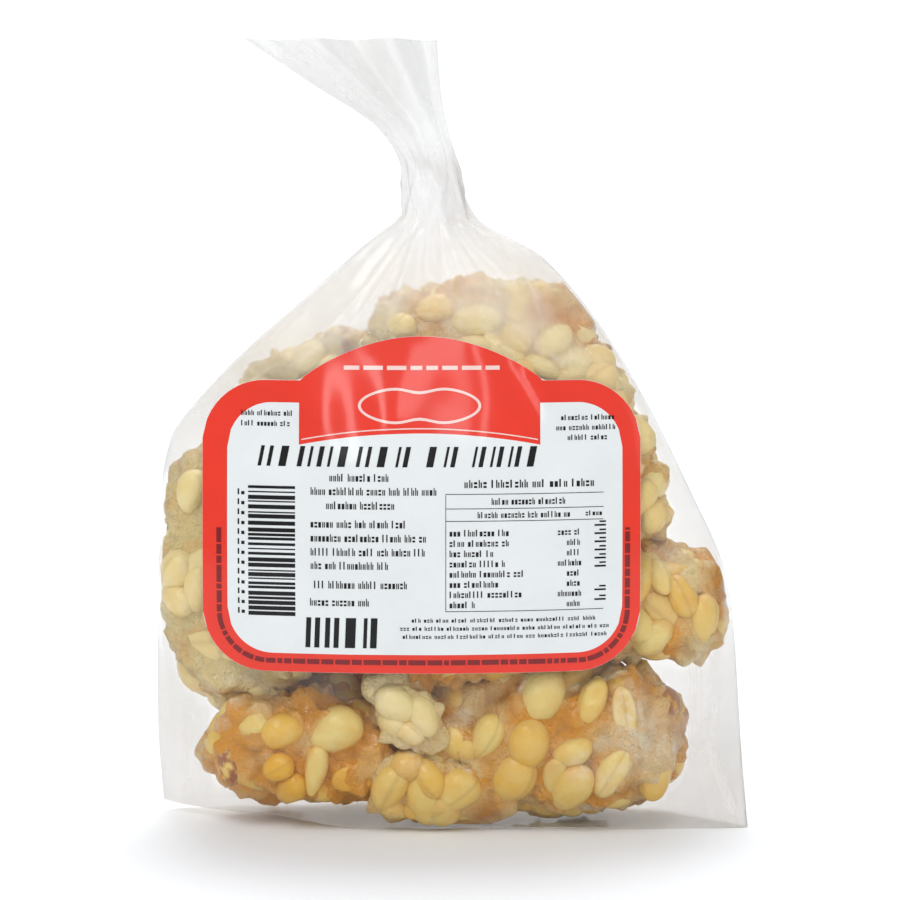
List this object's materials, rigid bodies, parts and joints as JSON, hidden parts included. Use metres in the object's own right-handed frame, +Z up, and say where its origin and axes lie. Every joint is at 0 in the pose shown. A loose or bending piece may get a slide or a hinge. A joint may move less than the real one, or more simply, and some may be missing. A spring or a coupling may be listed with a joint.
{
  "type": "bagged peanut fudge",
  "caption": "Clear film bag of broken peanut fudge with a gathered, twisted neck and a printed front label. It stands upright on its contents.",
  "frame": {"origin": "on the floor under the middle of the bag", "axes": "+X to the right as seen from the front, +Y to the back, +Z up; the label is on the front, at -Y"},
  "size_m": [0.1482, 0.0475, 0.195],
  "materials": {
    "film": "clear, thin and crinkled, with a sharp gloss",
    "label": "glossy coated paper printed red, black and white",
    "ink_red": "glossy red print",
    "ink_black": "glossy black print",
    "fudge": "boiled sugar and cream, grainy, waxy and slightly translucent",
    "peanut": "roasted and skinned, with a satin glaze of sugar"
  },
  "bodies": {
    "root": {"bag": "film", "label": "label"}
  },
  "joints": []
}
